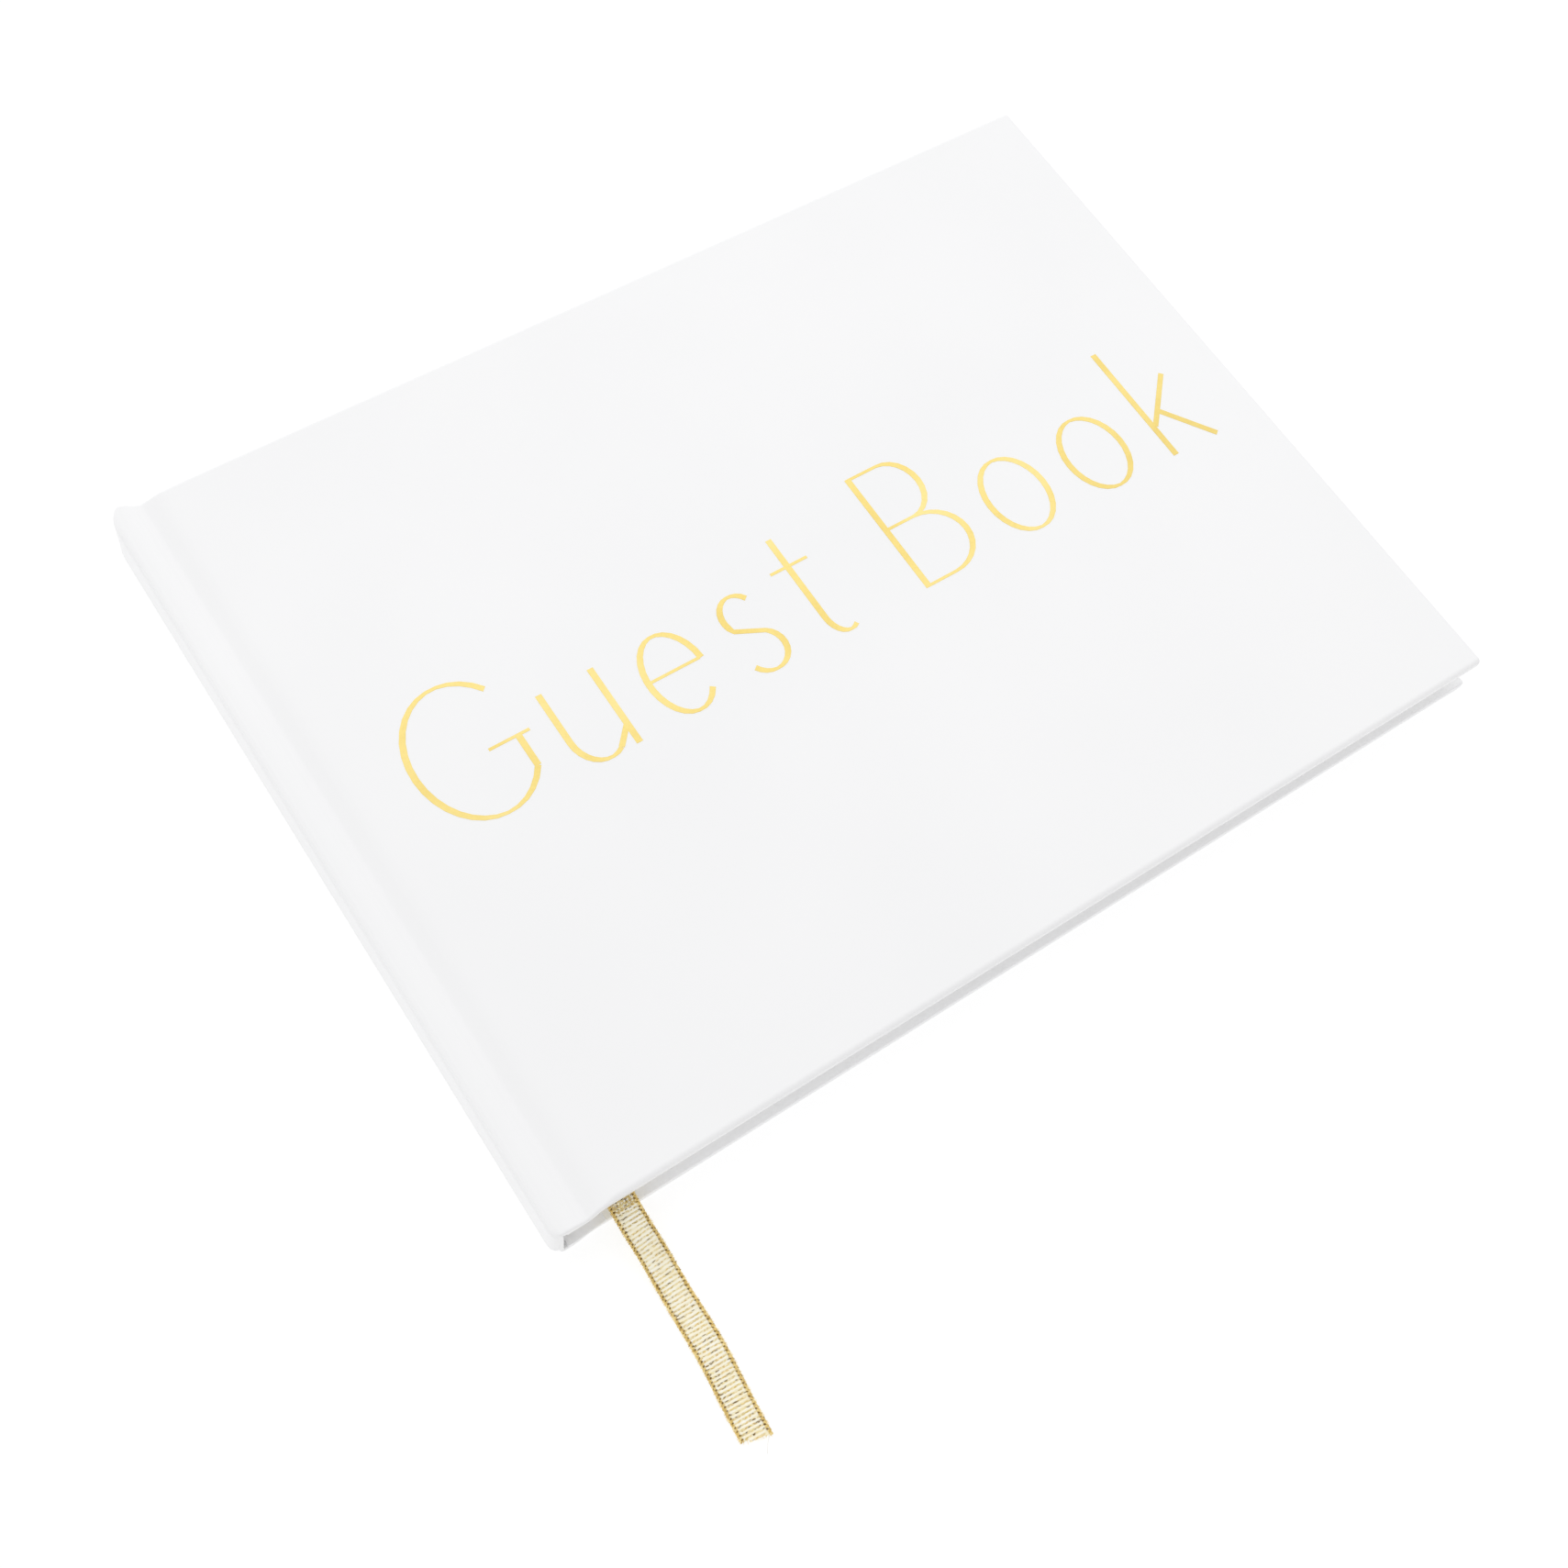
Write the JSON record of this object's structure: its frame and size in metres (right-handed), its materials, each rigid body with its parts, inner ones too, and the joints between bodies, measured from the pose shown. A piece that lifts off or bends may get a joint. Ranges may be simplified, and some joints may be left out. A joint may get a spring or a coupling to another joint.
{
  "type": "wedding guest book",
  "caption": "Landscape white case-bound guest book with a gold foil title, a French groove at the spine and a narrow woven gold ribbon marker; covers and leaves open.",
  "frame": {"origin": "middle of the closed book's footprint, on the surface it lies on, without the ribbon's free tail", "axes": "+X from the spine to the fore-edge, +Y from the tail edge to the head, +Z out of the front cover"},
  "size_m": [0.24, 0.2281, 0.012],
  "materials": {
    "cover_paper": "smooth white laminated cover paper, satin",
    "greyboard": "uncoated grey bookbinding board",
    "endpaper": "uncoated white endpaper",
    "page_paper": "uncoated off-white writing paper",
    "gold_foil": "thin stamped gold foil, bright",
    "ribbon": "woven metallic gold ribbon with dark selvedges",
    "lining": "brown kraft paper",
    "mull": "open-weave cotton gauze, glued",
    "thread": "waxed linen thread",
    "band": "white woven head band"
  },
  "bodies": {
    "back_cover": {"back_board": "greyboard", "back_cover_wrap": "cover_paper", "back_pastedown": "endpaper"},
    "text_block": {"spine_wrap": "cover_paper", "spine_board": "greyboard", "front_joint_wrap": "cover_paper", "back_joint_wrap": "cover_paper", "front_endpaper_fold": "endpaper", "back_endpaper_fold": "endpaper", "section_1_fold": "page_paper", "section_2_fold": "page_paper", "section_3_fold": "page_paper", "section_4": "page_paper", "section_5": "page_paper", "section_6": "page_paper", "sewing_thread": "thread", "mull": "mull", "kraft_spine_lining": "lining", "head_band": "band", "tail_band": "band", "ribbon_marker_inner": "ribbon", "ribbon_marker_tail": "ribbon"},
    "front_cover": {"front_board": "greyboard", "front_cover_wrap": "cover_paper", "front_pastedown": "endpaper", "title_foil": "gold_foil"},
    "front_flyleaf_leaf": {"front_flyleaf": "endpaper"},
    "leaves_1": {"section_1_leaves": "page_paper"},
    "leaves_2": {"section_2_leaves": "page_paper"},
    "leaves_3": {"section_3_leaves": "page_paper"},
    "back_flyleaf_leaf": {"back_flyleaf": "endpaper"}
  },
  "joints": [
    {"name": "front_cover_hinge", "type": "hinge", "parent": "text_block", "child": "front_cover", "pos_m": [-0.1158, 0, 0.0102], "axis": [0, -1, 0], "range_deg": [0, 182], "deforming": ["front_joint_wrap"]},
    {"name": "front_flyleaf_turn", "type": "hinge", "parent": "text_block", "child": "front_flyleaf_leaf", "pos_m": [-0.1158, 0, 0.0102], "axis": [0, -1, 0], "range_deg": [0, 178.2]},
    {"name": "leaves_1_turn", "type": "hinge", "parent": "text_block", "child": "leaves_1", "pos_m": [-0.1158, 0, 0.0102], "axis": [0, -1, 0], "range_deg": [0, 174.92]},
    {"name": "leaves_2_turn", "type": "hinge", "parent": "text_block", "child": "leaves_2", "pos_m": [-0.1158, 0, 0.0102], "axis": [0, -1, 0], "range_deg": [0, 171.28]},
    {"name": "leaves_3_turn", "type": "hinge", "parent": "text_block", "child": "leaves_3", "pos_m": [-0.1158, 0, 0.0102], "axis": [0, -1, 0], "range_deg": [0, 167.28]},
    {"name": "back_cover_hinge", "type": "hinge", "parent": "back_cover", "child": "text_block", "pos_m": [-0.1158, 0, 0.0018], "axis": [0, 1, 0], "range_deg": [-90, 0], "deforming": ["back_joint_wrap", "ribbon_marker_tail"]},
    {"name": "back_flyleaf_turn", "type": "hinge", "parent": "text_block", "child": "back_flyleaf_leaf", "pos_m": [-0.1158, 0, 0.0018], "axis": [0, 1, 0], "range_deg": [0, 65]}
  ],
  "couplings": [
    {"joint": "front_flyleaf_turn", "follows": "front_cover_hinge", "ratio": 0.978},
    {"joint": "leaves_1_turn", "follows": "front_cover_hinge", "ratio": 0.96},
    {"joint": "leaves_2_turn", "follows": "front_cover_hinge", "ratio": 0.94},
    {"joint": "leaves_3_turn", "follows": "front_cover_hinge", "ratio": 0.918},
    {"joint": "back_flyleaf_turn", "follows": "back_cover_hinge", "ratio": -0.7}
  ]
}
